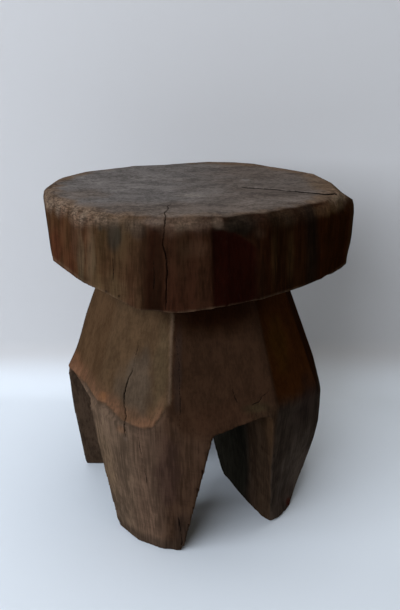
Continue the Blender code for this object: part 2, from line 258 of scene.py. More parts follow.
# Patches on the base: azimuth, half width, height, half height, colour, strength
BASE_PATCHES = (
    (-24.0, 8.0, 0.238, 0.034, (0.062, 0.0450, 0.0310), 0.65),
    (-12.5, 3.2, 0.262, 0.050, (0.064, 0.0430, 0.0220), 0.60),
    # Painted shade: a darker band just under the cap's overhang
    (-25.0, 34.0, 0.336, 0.016, (0.038, 0.0225, 0.0122), 0.60),
    (-75.0, 14.0, 0.212, 0.014, (0.095, 0.0420, 0.0200), 0.70),
    (-38.0, 2.2, 0.2165, 0.007, (0.160, 0.0680, 0.0250), 0.80),
    (-28.7, 1.7, 0.181, 0.005, (0.115, 0.0600, 0.0330), 0.70),
    (-26.8, 1.0, 0.169, 0.0035, (0.110, 0.0720, 0.0500), 0.80),
    (13.0, 14.0, 0.203, 0.016, (0.037, 0.0170, 0.0090), 0.60),
    (-5.0, 1.6, 0.262, 0.050, (0.030, 0.0180, 0.0130), 0.60),
    (-9.0, 5.0, 0.128, 0.055, (0.037, 0.0195, 0.0140), 0.65),
    (-3.0, 4.0, 0.028, 0.034, (0.020, 0.0125, 0.0090), 0.65),
    (-40.0, 7.0, 0.110, 0.055, (0.092, 0.0600, 0.0350), 0.50),
    (-45.0, 14.0, 0.040, 0.035, (0.062, 0.0420, 0.0275), 0.60),
    (60.0, 14.0, 0.080, 0.050, (0.048, 0.0355, 0.0270), 0.70),
    (-30.0, 26.0, 0.006, 0.012, (0.036, 0.0240, 0.0165), 0.60),
    (28.0, 5.0, 0.2095, 0.006, (0.030, 0.0215, 0.0100), 0.60),
    (48.0, 7.0, 0.270, 0.030, (0.036, 0.0170, 0.0022), 0.40),
    (62.0, 9.0, 0.182, 0.030, (0.018, 0.0110, 0.0090), 0.55),
    (69.0, 8.0, 0.055, 0.045, (0.066, 0.0480, 0.0370), 0.60),
    # Painted light: the toe's shaded right face made lighter, so that the toe reads as one rounded tone
    (54.0, 9.0, 0.016, 0.032, (0.054, 0.0370, 0.0280), 0.65),
    (60.4, 2.2, 0.009, 0.005, (0.042, 0.0075, 0.0050), 0.85),
    (38.2, 0.6, 0.129, 0.0022, (0.006, 0.0045, 0.0035), 0.95),
)


# Grains of the wood: layers of noise as share, scale, detail and roughness, which of them is raised, pores
GRAINS = (
    (
        "Side grain",
        {
            "layers": (
                (0.33, (60.0, 60.0, 6.0), 3.0),
                (0.38, (420.0, 420.0, 16.0), 3.0),
                (0.22, (75.0, 75.0, 60.0), 4.0),
                (0.07, (34.0, 34.0, 520.0), 2.0),
            ),
            "ramp": (0.36, 0.64),
        },
        1,
        {"noise": ((900.0, 900.0, 60.0), 2.0), "ramp": (0.62, 0.74)},
    ),
    (
        "End grain",
        {
            "layers": ((0.36, (30.0, 62.0, 30.0), 4.0), (0.64, (210.0, 400.0, 210.0), 4.0, 0.75)),
            "ramp": (0.38, 0.62),
        },
        1,
        {"noise": ((520.0, 420.0, 520.0), 2.0), "ramp": (0.60, 0.72)},
    ),
)


def heading(azimuth):
    """Unit vector on the floor that points out at an azimuth."""
    angle = math.radians(azimuth)
    return Vector((math.sin(angle), -math.cos(angle), 0.0))


def ramp(low, high, values):
    """Smooth step from 0 at low to 1 at high, also where high is the smaller."""
    share = np.clip((values - low) / (high - low), 0.0, 1.0)
    return share * share * (3.0 - 2.0 * share)


def between(start, full, fade, end, values):
    """Share that rises from start to full and falls again from fade to end."""
    return ramp(start, full, values) * (1.0 - ramp(fade, end, values))


def field(points, scale, offset=0.0):
    """Smooth noise from -1 to 1 at points, with its own scale along each axis."""
    places = points * np.array(scale) + offset
    return np.array([noise.noise(Vector(place)) for place in places])


def merged_copy(name):
    """Mesh of a solid with its corners merged and its flat faces whole."""
    bm = bmesh.new()
    bm.from_mesh(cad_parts[name].data)
    bmesh.ops.remove_doubles(bm, verts=bm.verts[:], dist=1e-5)
    bmesh.ops.dissolve_limit(bm, angle_limit=math.radians(0.5), verts=bm.verts[:], edges=bm.edges[:])
    return bm


def only(kind, items):
    """The items of one kind out of what a bmesh operator gave."""
    return [item for item in items if isinstance(item, kind)]


def sampled(points, spacing):
    """Points along a polyline at an even spacing."""
    result = []
    for first, second in zip(points, points[1:]):
        count = max(1, round((second - first).length / spacing))
        result.extend(first.lerp(second, step / count) for step in range(count))
    result.append(points[-1])
    return result


def point_tree(points):
    """Tree that finds the nearest of some points."""
    tree = KDTree(len(points))
    for index, point in enumerate(points):
        tree.insert(point, index)
    tree.balance()
    return tree


class Arrises:
    """Outer edges of a solid, to measure how near a point is to the nearest one."""

    SPACING = 0.0006

    def __init__(self, bm, least_angle):
        points = []
        self.angles = []
        for edge in bm.edges:
            if len(edge.link_faces) == 2 and edge.is_convex and edge.calc_face_angle() > least_angle:
                along = sampled([vert.co.copy() for vert in edge.verts], self.SPACING)
                points.extend(along)
                self.angles.extend([edge.calc_face_angle()] * len(along))
        self.tree = point_tree(points)

    def distances(self, coords):
        """Distance from each point to the nearest outer edge, and that edge's angle."""
        found = [self.tree.find(Vector(co)) for co in coords]
        distance = np.array([item[2] for item in found])
        angle = np.array([self.angles[item[1]] for item in found])
        return distance, angle


class Cracks:
    """Drying checks of a piece, laid on its surface as lines of close points."""

    SPACING = 0.0004
    # How far a check wanders and jags, and how closely
    WANDER = 0.0010
    WANDER_SCALE = 110.0
    JAG = 0.0006
    JAG_SCALE = 340.0
    # How fast a check opens from its ends, and how open the ends are
    TAPER = 6.0
    TIP = 0.35
    # Rays for a check's places stay this far inside the stool's height
    MARGIN = 0.001
    # Points further than this from a check aren't moved by it
    REACH = 0.004
    SEED = 7

    def __init__(self, tree, cracks):
        # Noise vectors follow the seed, which is the time of day unless it is set
        noise.seed_set(self.SEED)
        self.points = []
        self.widths = []
        self.depths = []
        for seat_places, side_places, width, depth in cracks:
            route = [self.on_top(tree, azimuth, radius) for azimuth, radius in seat_places]
            route += [self.on_side(tree, azimuth, height) for azimuth, height in side_places]
            self.add(tree, route, width, depth)
        self.tree = point_tree(self.points)

    @staticmethod
    def on_side(tree, azimuth, height):
        """Outermost point of the surface at an azimuth and a height."""
        out = heading(azimuth)
        inside = min(max(height, Cracks.MARGIN), STOOL_HEIGHT - Cracks.MARGIN)
        start = AXIS + out + Vector((0.0, 0.0, inside))
        return tree.ray_cast(start, -out)[0]

    @staticmethod
    def on_top(tree, azimuth, radius):
        """Point of the seat at an azimuth and a radius."""
        start = AXIS + heading(azimuth) * radius + Vector((0.0, 0.0, 1.0))
        return tree.ray_cast(start, Vector((0.0, 0.0, -1.0)))[0]

    def add(self, tree, route, width, depth):
        """Add one check that wanders about its route and tapers to its ends."""
        line = sampled(route, self.SPACING)
        last = len(line) - 1
        for index, point in enumerate(line):
            share = index / last
            shift = noise.noise_vector(point * self.WANDER_SCALE) * self.WANDER
            shift += noise.noise_vector(point * self.JAG_SCALE) * self.JAG
            taper = min(1.0, self.TAPER * min(share, 1.0 - share) + self.TIP)
            swell = 0.85 + 0.6 * noise.noise(point * 70.0) + 0.4 * noise.noise(point * 190.0)
            self.points.append(tree.find_nearest(point + shift)[0])
            least = 0.15 if width < WIDE_CHECK else 0.50
            self.widths.append(width * taper * max(swell, least))
            self.depths.append(depth * taper)

    def cut(self, coords):
        """For each point: how open the nearest check is there, and how deep it cuts."""
        apart = np.full(len(coords), math.inf)
        depth = np.zeros(len(coords))
        for index, co in enumerate(coords):
            _, which, distance = self.tree.find(Vector(co))
            if distance < self.REACH:
                apart[index] = distance / self.widths[which]
                depth[index] = self.depths[which]
        opening = 1.0 - ramp(0.4, 1.5, apart)
        return opening, ramp(0.3, 0.9, opening) * depth


def fine_mesh(bm, name, grid):
    """Object with an even fine mesh over the shape of a bmesh."""
    mesh = bpy.data.meshes.new(name)
    bm.to_mesh(mesh)
    piece = bpy.data.objects.new(name, mesh)
    bpy.context.scene.collection.objects.link(piece)
    remesh = piece.modifiers.new("fine grid", 'REMESH')
    remesh.mode = 'SHARP'
    remesh.octree_depth = OCTREE_DEPTH
    remesh.scale = max(piece.dimensions) / (grid * 2 ** OCTREE_DEPTH)
    depsgraph = bpy.context.evaluated_depsgraph_get()
    fine = bpy.data.meshes.new_from_object(piece.evaluated_get(depsgraph))
    piece.modifiers.clear()
    piece.data = fine
    fine.name = name
    bpy.data.meshes.remove(mesh)
    return piece


def soften(piece, rounds, factor, below=1.0, about=None, reach=1.0):
    """Round the arrises of a fine mesh under a height, if need be only about a place on the floor."""
    bm = bmesh.new()
    bm.from_mesh(piece.data)
    middle = about or AXIS
    verts = [vert for vert in bm.verts if vert.co.z < below and (vert.co - middle).xy.length < reach]
    for _ in range(rounds):
        bmesh.ops.smooth_vert(
            bm,
            verts=verts,
            factor=factor,
            use_axis_x=True,
            use_axis_y=True,
            use_axis_z=True,
        )
    bm.to_mesh(piece.data)
    bm.free()


def refine_cracks(piece, cracks):
    """Give the mesh finer faces along the checks."""
    bm = bmesh.new()
    bm.from_mesh(piece.data)
    near = [cracks.tree.find(vert.co)[2] < CRACK_REACH for vert in bm.verts]
    bm.verts.index_update()
    edges = [edge for edge in bm.edges if all(near[vert.index] for vert in edge.verts)]
    bmesh.ops.subdivide_edges(bm, edges=edges, cuts=CRACK_CUTS, use_grid_fill=True)
    bm.to_mesh(piece.data)
    bm.free()


class Surface:
    """Points of a fine mesh as arrays, with their places about the stool's axis."""

    def __init__(self, piece):
        self.mesh = piece.data
        count = len(self.mesh.vertices)
        coords = np.empty(count * 3, dtype=np.float32)
        self.mesh.vertices.foreach_get("co", coords)
        normals = np.empty(count * 3, dtype=np.float32)
        self.mesh.vertex_normals.foreach_get("vector", normals)
        self.co = coords.reshape(-1, 3).astype(float)
        self.normal = normals.reshape(-1, 3).astype(float)
        self.rel = self.co - np.array(AXIS)
        self.azimuth = np.degrees(np.arctan2(self.rel[:, 0], -self.rel[:, 1]))
        self.radius = np.hypot(self.rel[:, 0], self.rel[:, 1])
        self.height = self.co[:, 2].copy()
        # Direction away from the axis, and how far each normal points that way
        self.away = self.rel[:, :2] / np.maximum(self.radius, 1e-6)[:, None]
        self.outward = np.sum(self.normal[:, :2] * self.away, axis=1)

    def push(self, amount):
        """Move every point along its normal."""
        self.co += self.normal * amount[:, None]

    def store(self):
        """Write the points back, inside the box of the solids."""
        self.co = np.clip(self.co, np.array(CAD_BOX[0]), np.array(CAD_BOX[1]))
        self.mesh.vertices.foreach_set("co", self.co.astype(np.float32).ravel())
        self.mesh.update()

    def masks(self, **named):
        """Keep values per point as attributes."""
        for name, values in named.items():
            attribute = self.mesh.attributes.new(name, 'FLOAT', 'POINT')
            attribute.data.foreach_set("value", np.clip(values, 0.0, 1.0).astype(np.float32))

    def tone(self, colours):
        """Keep the wood's colour per point as an attribute."""
        rgba = np.ones((len(colours), 4), dtype=np.float32)
        rgba[:, :3] = np.clip(colours, 0.0, 1.0)
        attribute = self.mesh.color_attributes.new("tone", 'FLOAT_COLOR', 'POINT')
        attribute.data.foreach_set("color", rgba.ravel())


def blend(colours, colour, mask):
    """Mix one colour, or one per point, into the colours by a mask."""
    share = mask[:, None]
    return colours * (1.0 - share) + np.array(colour) * share


def zoned(azimuth, zones):
    """Colours by azimuth: each zone begins with a soft border, the last goes on to the first."""
    colours = np.tile(np.array(zones[-1][2]), (len(azimuth), 1))
    for start, soft, colour in zones:
        colours = blend(colours, colour, ramp(start - soft, start + soft, azimuth))
    return colours


def side_patch(surface, azimuth, width, height, reach, soft=0.45, warp=0.45):
    """Mask of a patch on a side: half width in degrees, half height in metres, with a ragged edge."""
    apart = (surface.azimuth - azimuth + 180.0) % 360.0 - 180.0
    near = (np.abs(apart) < 2.0 * width) & (np.abs(surface.height - height) < 2.0 * reach)
    mask = np.zeros(len(apart))
    across = apart[near] / width
    along = (surface.height[near] - height) / reach
    ragged = field(surface.co[near], (75.0, 75.0, 45.0), azimuth) * warp
    mask[near] = 1.0 - ramp(1.0 - soft, 1.0 + soft, np.hypot(across, along) + ragged)
    return mask


def patched(surface, tone, patches):
    """Paint patches on a side over the tone."""
    for *place, colour, strength in patches:
        tone = blend(tone, colour, strength * side_patch(surface, *place))
    return tone


def top_patch(surface, x, y, width, depth, soft=0.5, warp=0.4):
    """Mask of a patch on the seat, by half width and half depth."""
    apart = np.hypot((surface.rel[:, 0] - x) / width, (surface.rel[:, 1] - y) / depth)
    ragged = field(surface.co, (60.0, 60.0, 60.0), x * 50.0) * warp
    return 1.0 - ramp(1.0 - soft, 1.0 + soft, apart + ragged)


def snap_hidden(surface, tree, hidden):
    """Put the points of a seat or a mortise back on the solid, so that the joint still fits."""
    for index in np.nonzero(hidden)[0]:
        surface.co[index] = tree.find_nearest(Vector(surface.co[index]))[0]


class StoolSizes(bpy.types.PropertyGroup):
    """Sizes of the stool's surface."""

    cap_grid: bpy.props.FloatProperty(
        name="Cap grid", description="Spacing of the cap's fine mesh", default=0.0022, unit='LENGTH')
    base_grid: bpy.props.FloatProperty(
        name="Base grid", description="Spacing of the base's fine mesh", default=0.0029, unit='LENGTH')
    hewing: bpy.props.FloatProperty(
        name="Hewing depth", description="Depth of the hollows left by the adze", default=0.0009,
        unit='LENGTH')
    grain: bpy.props.FloatProperty(
        name="Grain depth", description="Depth of the raised grain", default=0.00025, unit='LENGTH')
    rim_wear: bpy.props.FloatProperty(
        name="Rim wear", description="Depth of the wear on the seat's edge", default=0.0020, unit='LENGTH')
    corner_wear: bpy.props.FloatProperty(
        name="Corner wear", description="Depth of the wear at the seat's right end", default=0.0036,
        unit='LENGTH')
    far_fill: bpy.props.FloatProperty(
        name="Far edge", description="How full the seat's far edge has stayed", default=0.0046,
        unit='LENGTH')
    lip: bpy.props.FloatProperty(
        name="Lip", description="How far the seat has sunk beside its long check", default=0.0016,
        unit='LENGTH')
    leg_step: bpy.props.FloatProperty(
        name="Leg step", description="How far the legs stand back under the flare", default=0.0022,
        unit='LENGTH')


class StoolColours(bpy.types.PropertyGroup):
    """Colours of the stool's wood, beside those of its zones."""

    # The seat's colours: its greyed end grain, with a painted sheen of the top in them
    seat: bpy.props.FloatVectorProperty(
        name="Seat", description="Worn end grain of the seat", subtype='COLOR',
        default=(0.105, 0.084, 0.070))
    # Lighter grey at the left of the seat, partly greyed end grain and partly painted sheen
    seat_grey_and_sheen: bpy.props.FloatVectorProperty(
        name="Seat grey", description="Greyed end grain left of the middle", subtype='COLOR',
        default=(0.120, 0.108, 0.100))
    seat_dark: bpy.props.FloatVectorProperty(
        name="Seat dark", description="Darker end grain", subtype='COLOR',
        default=(0.072, 0.058, 0.049))
    rim: bpy.props.FloatVectorProperty(
        name="Rim", description="Bare worn wood on the edge", subtype='COLOR',
        default=(0.122, 0.084, 0.057))
    # Dark red of the right adze scoop: the wood's own stain, made darker still as painted shade on the side
    # away from the light
    scoop: bpy.props.FloatVectorProperty(
        name="Scoop", description="Dark red wood in the right adze scoop", subtype='COLOR',
        default=(0.0085, 0.0015, 0.0008))
    # Painted shade: the darker colour of the seat's underside, also laid in a strip under the flare's edge
    under: bpy.props.FloatVectorProperty(
        name="Under", description="Underside of the seat", subtype='COLOR',
        default=(0.026, 0.016, 0.010))
    # Painted shade deep between the legs, under the stool
    hollow: bpy.props.FloatVectorProperty(
        name="Hollow", description="Dark wood between the legs", subtype='COLOR',
        default=(0.0155, 0.0135, 0.0095))
    rust: bpy.props.FloatVectorProperty(
        name="Rust", description="Orange wood where the knee is worn", subtype='COLOR',
        default=(0.132, 0.064, 0.035))
    # Rubbed outer edges, and on the base's front arris also a painted highlight
    arris_wear_and_highlight: bpy.props.FloatVectorProperty(
        name="Arris", description="Rubbed outer edges", subtype='COLOR',
        default=(0.104, 0.066, 0.040))
    wedge: bpy.props.FloatVectorProperty(
        name="Wedge", description="Split wedges", subtype='COLOR',
        default=(0.400, 0.270, 0.150))


class StageSettings(bpy.types.PropertyGroup):
    """Floor, light and camera."""

    floor: bpy.props.FloatVectorProperty(
        name="Floor", description="Colour of the floor", subtype='COLOR',
        default=(0.775, 0.822, 0.858))
    backdrop: bpy.props.FloatVectorProperty(
        name="Backdrop", description="Colour of the backdrop", subtype='COLOR',
        default=(0.573, 0.562, 0.553))
    wall: bpy.props.FloatProperty(
        name="Wall", description="Distance of the backdrop behind the axis", default=0.30, unit='LENGTH')
    bend: bpy.props.FloatProperty(
        name="Bend", description="Radius between floor and backdrop", default=0.09, unit='LENGTH')
    key_power: bpy.props.FloatProperty(
        name="Key", description="Power of the light at the left", default=190.0, unit='POWER')
    top_power: bpy.props.FloatProperty(
        name="Top", description="Power of the light overhead", default=14.0, unit='POWER')
    ambient: bpy.props.FloatProperty(
        name="Ambient", description="Strength of the light from all sides", default=0.115)
    lens: bpy.props.FloatProperty(
        name="Lens", description="Focal length", default=35.705, unit='CAMERA')
    pitch: bpy.props.FloatProperty(
        name="Pitch", description="How far the camera looks down", default=math.radians(22.1),
        unit='ROTATION')
    eye: bpy.props.FloatVectorProperty(
        name="Eye", description="Place of the camera from the stool's axis", subtype='TRANSLATION',
        default=(0.012, -0.7775, 0.598))


def math_node(tree, operation, first, second=None):
    """Add a math node on two sockets or numbers and return its output."""
    made = tree.nodes.new('ShaderNodeMath')
    made.operation = operation
    for socket, value in zip(made.inputs, (first, second)):
        if value is None:
            continue
        if isinstance(value, (int, float)):
            socket.default_value = value
        else:
            tree.links.new(value, socket)
    return made.outputs[0]


def ramp_node(tree, value, low, high, out_low=0.0, out_high=1.0):
    """Add a smooth map of a value and return its output."""
    made = tree.nodes.new('ShaderNodeMapRange')
    made.interpolation_type = 'SMOOTHSTEP'
    tree.links.new(value, made.inputs["Value"])
    made.inputs["From Min"].default_value = low
    made.inputs["From Max"].default_value = high
    made.inputs["To Min"].default_value = out_low
    made.inputs["To Max"].default_value = out_high
    return made.outputs["Result"]


def noise_node(tree, vector, scale, detail=3.0, roughness=0.55):
    """Add a noise of its own scale along each axis and return its value."""
    stretch = tree.nodes.new('ShaderNodeMapping')
    stretch.inputs["Scale"].default_value = scale
    tree.links.new(vector, stretch.inputs["Vector"])
    made = tree.nodes.new('ShaderNodeTexNoise')
    made.inputs["Scale"].default_value = 1.0
    made.inputs["Detail"].default_value = detail
    made.inputs["Roughness"].default_value = roughness
    tree.links.new(stretch.outputs["Vector"], made.inputs["Vector"])
    return made.outputs["Fac"]


def mix_node(tree, share, first, second, mode='MIX'):
    """Add a colour mix and return its output."""
    made = tree.nodes.new('ShaderNodeMix')
    made.data_type = 'RGBA'
    made.blend_type = mode
    for socket, value in ((made.inputs[0], share), (made.inputs[6], first), (made.inputs[7], second)):
        if isinstance(value, (int, float)):
            socket.default_value = value
        elif isinstance(value, tuple):
            socket.default_value = (*value, 1.0)
        else:
            tree.links.new(value, socket)
    return made.outputs[2]


def sum_node(tree, *parts):
    """Add up values, each times its share, and return the output."""
    total = None
    for value, share in parts:
        scaled = math_node(tree, 'MULTIPLY', value, share)
        total = scaled if total is None else math_node(tree, 'ADD', total, scaled)
    return total


def grain_group(name, pattern, relief, pores):
    """Make a shader node group that puts out a grain pattern, its open pores and its height."""
    tree = bpy.data.node_groups.new(name, 'ShaderNodeTree')
    tree.interface.new_socket("Vector", in_out='INPUT', socket_type='NodeSocketVector')
    for label in ("Pattern", "Pores", "Height"):
        tree.interface.new_socket(label, in_out='OUTPUT', socket_type='NodeSocketFloat')
    vector = tree.nodes.new('NodeGroupInput').outputs["Vector"]
    result = tree.nodes.new('NodeGroupOutput')
    layers = [(noise_node(tree, vector, *settings), share) for share, *settings in pattern["layers"]]
    tree.links.new(ramp_node(tree, sum_node(tree, *layers), *pattern["ramp"]), result.inputs["Pattern"])
    open_pores = ramp_node(tree, noise_node(tree, vector, *pores["noise"]), *pores["ramp"])
    tree.links.new(open_pores, result.inputs["Pores"])
    sunk = math_node(tree, 'MULTIPLY', open_pores, PORE_DEPTH)
    tree.links.new(math_node(tree, 'SUBTRACT', layers[relief][0], sunk), result.inputs["Height"])
    return tree


def attribute_node(tree, name):
    """Add a node that reads an attribute of the mesh."""
    made = tree.nodes.new('ShaderNodeAttribute')
    made.attribute_name = name
    return made


def placed_group(tree, label, coords):
    """Place a grain group in a material, on its coordinates."""
    made = tree.nodes.new('ShaderNodeGroup')
    made.node_tree = grain_groups()[label]
    tree.links.new(coords, made.inputs["Vector"])
    return made


def new_material(name):
    """Make a material and return it with its node tree, its shader and object coordinates."""
    material = bpy.data.materials.new(name)
    material.use_nodes = True
    tree = material.node_tree
    coords = tree.nodes.new('ShaderNodeTexCoord').outputs["Object"]
    return material, tree, tree.nodes["Principled BSDF"], coords


def hewn_wood(name):
    """Worn hardwood: the painted tone of the mesh, modulated by grain, crust, pores and checks."""
    material, tree, shader, coords = new_material(name)
    side = placed_group(tree, "Side grain", coords)
    end = placed_group(tree, "End grain", coords)
    tone = attribute_node(tree, "tone").outputs["Color"]
    masks = ("end_grain", "crack", "smooth", "crust")
    seat, crack, smooth, crust = (attribute_node(tree, mask).outputs["Fac"] for mask in masks)

    contrast = (1.0 - STREAK_CONTRAST, 1.0 + STREAK_CONTRAST)
    streaks = ramp_node(tree, side.outputs["Pattern"], 0.0, 1.0, *contrast)
    mottle = ramp_node(tree, end.outputs["Pattern"], 0.0, 1.0, 0.68, 1.32)
    long_grain = mix_node(tree, 1.0, tone, streaks, 'MULTIPLY')
    end_grain = mix_node(tree, 1.0, tone, mottle, 'MULTIPLY')
    plain = mix_node(tree, 0.42, long_grain, tone)
    calmer = mix_node(tree, smooth, long_grain, plain)
    colour = mix_node(tree, seat, calmer, end_grain)
    specks = noise_node(tree, coords, (190.0, 190.0, 720.0), 3.0, 0.6)
    flecks = ramp_node(tree, specks, 0.38, 0.62, 0.52, 1.40)
    colour = mix_node(tree, crust, colour, mix_node(tree, 1.0, colour, flecks, 'MULTIPLY'))
    beside = math_node(tree, 'SUBTRACT', 1.0, seat)
    side_pores = math_node(tree, 'MULTIPLY', side.outputs["Pores"], beside)
    end_pores = math_node(tree, 'MULTIPLY', end.outputs["Pores"], seat)
    pores = math_node(tree, 'MULTIPLY', math_node(tree, 'ADD', side_pores, end_pores), 0.45)
    colour = mix_node(tree, pores, colour, PORE_COLOUR)
    # Painted shade in the open checks
    check_shade = ramp_node(tree, crack, 0.35, 0.70)
    colour = mix_node(tree, check_shade, colour, CHECK_SHADE_COLOUR)
    tree.links.new(colour, shader.inputs["Base Color"])

    rough = ramp_node(tree, side.outputs["Pattern"], 0.0, 1.0, 0.76, 0.64)
    polished = math_node(tree, 'MULTIPLY', smooth, 0.14)
    tree.links.new(math_node(tree, 'SUBTRACT', rough, polished), shader.inputs["Roughness"])
    shader.inputs["Specular IOR Level"].default_value = 0.0

    height = tree.nodes.new('ShaderNodeMix')
    tree.links.new(seat, height.inputs[0])
    tree.links.new(side.outputs["Height"], height.inputs[2])
    tree.links.new(end.outputs["Height"], height.inputs[3])
    bump = tree.nodes.new('ShaderNodeBump')
    bump.inputs["Strength"].default_value = 0.45
    bump.inputs["Distance"].default_value = 0.0005
    tree.links.new(height.outputs[0], bump.inputs["Height"])
    tree.links.new(bump.outputs["Normal"], shader.inputs["Normal"])
    return material


def grain_groups():
    """Both grain groups, made once."""
    made = bpy.data.node_groups
    return {label: made.get(label) or grain_group(label, *parts) for label, *parts in GRAINS}


def finish_piece(piece, material, node):
    """Give a piece its material and make it stand for its solid."""
    piece.data.materials.clear()
    piece.data.materials.append(material)
    piece.data.shade_smooth()
    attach(piece, "root")
    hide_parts(node)


class STOOL_OT_seat_cap(bpy.types.Operator):
    """Hew and wear the seat cap"""

    bl_idname = "stool.seat_cap"
    bl_label = "Seat cap"

    LEAST_ARRIS = math.radians(14.0)
    # How far the right end bulges under its worn corner
    BULGE = 0.0030

    def execute(self, context):
        sizes = context.scene.stool_sizes
        colours = context.scene.stool_colours
        solid = merged_copy("seat_cap")
        tree = BVHTree.FromBMesh(solid)
        arrises = Arrises(solid, self.LEAST_ARRIS)
        cracks = Cracks(tree, CAP_CRACKS)
        piece = fine_mesh(solid, "hewn_cap", sizes.cap_grid)
        soften(piece, 1, 0.5)
        refine_cracks(piece, cracks)
        surface = Surface(piece)
        hidden = (surface.radius < MORTISE_REACH) & (surface.height < STOOL_HEIGHT - 0.02)
        self.sculpt(surface, sizes, cracks, hidden)
        snap_hidden(surface, tree, hidden)
        surface.store()
        self.paint(surface, colours, arrises)
        solid.free()
        material = hewn_wood("weathered cap wood")
        finish_piece(piece, material, "seat_cap")
        return {'FINISHED'}

    @staticmethod
    def scoops(surface):
        """How deep each point lies in an adze scoop, as a length, and as a share of the scoop's area."""
        depth_all = np.zeros(len(surface.co))
        inside_all = np.zeros(len(surface.co))
        for azimuths, heights, depth in CAP_SCOOPS:
            edge = np.interp(surface.azimuth, azimuths, heights)
            wobble = 0.0012 * field(surface.co, (90.0, 90.0, 90.0), depth * 1e4)
            below = ramp(0.0, 0.0026, edge - surface.height + wobble)
            across = ramp(azimuths[0], azimuths[0] + 1.2, surface.azimuth)
            across *= 1.0 - ramp(azimuths[-1] - 4.0, azimuths[-1], surface.azimuth)
            fade = 1.0 - ramp(0.005, 0.075, edge - surface.height)
            depth_all += depth * below * across * (0.25 + 0.75 * fade)
            inside_all += below * across
        return depth_all, inside_all

    @staticmethod
    def near_side(surface):
        """Share of each point in the strip that has sunk on the near side of the seat's long check."""
        route = [heading(azimuth) * radius for azimuth, radius in SEAT_CHECK]
        along = [point.x for point in route]
        beyond = np.interp(surface.rel[:, 0], along, [point.y for point in route]) - surface.rel[:, 1]
        ends = ramp(along[0] - 0.010, along[0] + 0.020, surface.rel[:, 0])
        return ends * between(-0.0008, 0.0008, 0.004, 0.034, beyond)

    def sculpt(self, surface, sizes, cracks, hidden):
        """Move the points of the cap for adze marks, raised grain, worn edges and checks."""
        top = ramp(0.50, 0.88, surface.normal[:, 2])
        side = 1.0 - top
        rough = field(surface.co, (17.0, 17.0, 9.0))
        ripple = field(surface.co, (60.0, 60.0, 30.0), 7.0)
        grain = field(surface.co, (170.0, 170.0, 11.0), 3.0)
        move = side * (0.5 * sizes.hewing * rough + 0.15 * sizes.hewing * ripple + sizes.grain * grain)
        swell = field(surface.co, (11.0, 11.0, 11.0), 5.0) - 1.0
        lines = field(surface.co, (9.0, 120.0, 9.0), 9.0) - 1.0
        move += top * (0.0004 * swell + 0.00008 * lines)
        rim = 1.0 - ramp(0.0, 0.016, STOOL_HEIGHT - surface.height)
        rim *= ramp(0.158, 0.176, surface.radius)
        worn = ramp(-0.2, 0.6, field(surface.co, (36.0, 36.0, 50.0), 21.0))
        far = np.interp(surface.azimuth, *FAR_RIM)
        move -= rim * sizes.rim_wear * 0.6 * worn * (1.0 - far)
        up = np.clip(surface.normal[:, 2], 0.0, 1.0)
        move += sizes.far_fill * far * rim * 2.0 * up * np.sqrt(1.0 - up * up)
        bulge = between(52.0, 66.0, 96.0, 112.0, surface.azimuth)
        bulge *= between(0.356, 0.392, 0.420, 0.440, surface.height)
        move += self.BULGE * bulge * side
        move -= sizes.lip * top * self.near_side(surface)
        depth, self.scooped = self.scoops(surface)
        move -= side * depth
        self.crack, depth = cracks.cut(surface.co)
        move -= depth
        move[hidden] = 0.0
        surface.push(move)
        tip = ramp(0.414, 0.442, surface.height) * ramp(0.150, 0.185, surface.radius)
        tip *= between(58.0, 70.0, 80.0, 94.0, surface.azimuth)
        surface.co[:, :2] -= sizes.corner_wear * tip[:, None] * surface.away
        lower = ramp(0.130, 0.170, surface.radius) * (1.0 - ramp(0.380, 0.415, surface.height))
        surface.co[:, 2] -= lower * np.interp(surface.azimuth, *CAP_DROOP)

    def paint(self, surface, colours, arrises):
        """Paint the tone of the cap and its masks."""
        co = surface.co
        azimuth = surface.azimuth
        edge = surface.height - np.interp(azimuth, *SEAT_EDGE)
        top = ramp(-0.0007, 0.0007, edge + 0.0007 * field(co, (70.0, 70.0, 70.0), 75.0))
        below_top = STOOL_HEIGHT - surface.height
        wobble = 1.1 * field(co, (45.0, 45.0, 14.0), 51.0)
        tone = zoned(azimuth + wobble, CAP_ZONES)
        tone = patched(surface, tone, CAP_PATCHES)
        # The right scoop's dark red, partly stain and partly painted shade
        tone = blend(tone, colours.scoop, 0.9 * self.scooped * (azimuth > 0.0))
        hue = field(co, (60.0, 60.0, 8.0), 85.0)[:, None]
        tone *= 1.0 + hue * np.array((0.12, -0.10, -0.05))[None, :]
        left = between(-135.0, -80.0, -36.0, -20.0, azimuth)
        right = between(56.0, 76.0, 110.0, 150.0, azimuth)
        strength = 0.12 + 0.72 * left + 0.70 * right + 0.25 * (1.0 - ramp(4.0, 12.0, azimuth))
        ragged = 0.006 * field(co, (48.0, 48.0, 30.0), 61.0) + 0.003 * field(co, (150.0, 150.0, 90.0), 63.0)
        band = 1.0 - ramp(0.004, 0.022, below_top + ragged)
        fray = 0.55 + 0.45 * ramp(-0.4, 0.4, field(co, (110.0, 110.0, 70.0), 65.0))
        tone = blend(tone, colours.rim, band * strength * fray * (1.0 - 0.6 * self.scooped))
        seat = np.tile(np.array(colours.seat), (len(co), 1))
